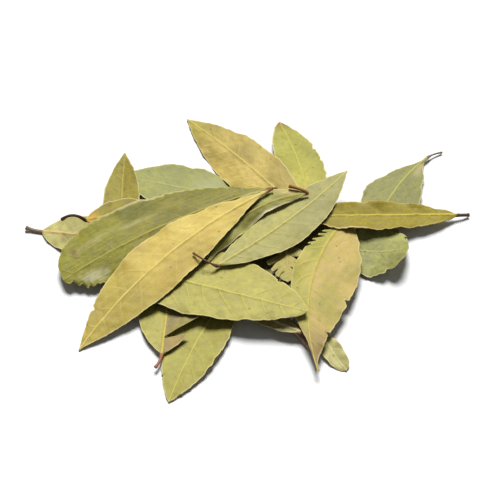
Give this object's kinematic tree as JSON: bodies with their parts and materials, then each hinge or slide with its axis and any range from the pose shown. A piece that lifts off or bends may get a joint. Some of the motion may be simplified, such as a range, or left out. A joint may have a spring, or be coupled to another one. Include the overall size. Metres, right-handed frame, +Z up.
{
  "type": "dried bay leaf sprig",
  "caption": "Dried bay laurel sprig lying flat: stiff, gently curved, wavy-edged leaves in tan, olive and sage tones, spread over and around a short woody twig.",
  "frame": {"origin": "on the surface that the sprig lies on, under the middle of its outline seen from above", "axes": "+Z up from the surface, +X to the viewer's right along the sprig's longest extent, +Y away from the viewer"},
  "size_m": [0.1458, 0.1196, 0.012],
  "materials": {
    "leaf_tan": "dry leaf, matte with a faint satin sheen",
    "leaf_straw": "dry leaf, matte with a faint satin sheen",
    "leaf_lime": "dry leaf, matte with a faint satin sheen",
    "leaf_olive": "dry leaf, matte with a faint satin sheen",
    "leaf_green": "dry leaf, matte with a faint satin sheen",
    "leaf_sage": "dry leaf, matte with a faint satin sheen",
    "twig_bark": "dry, matte"
  },
  "bodies": {
    "root": {"twig": "twig_bark", "leaf_back_sage": "leaf_sage", "leaf_back_left": "leaf_olive", "leaf_far_left": "leaf_sage", "leaf_left_tan": "leaf_olive", "leaf_far_right_green": "leaf_green", "leaf_right_sage": "leaf_green", "leaf_front_yellow": "leaf_lime", "leaf_front_left": "leaf_lime", "leaf_small": "leaf_lime", "leaf_under_front": "leaf_olive", "leaf_inner": "leaf_straw", "leaf_inner_small": "leaf_straw", "leaf_back_lime": "leaf_lime", "leaf_back_tan": "leaf_tan", "leaf_right_straw": "leaf_straw", "leaf_front_lime": "leaf_lime", "leaf_right_olive": "leaf_olive", "leaf_centre_sage": "leaf_sage", "leaf_left_dark_green": "leaf_green", "leaf_folded_olive": "leaf_olive", "leaf_top_tan": "leaf_tan"}
  },
  "joints": []
}
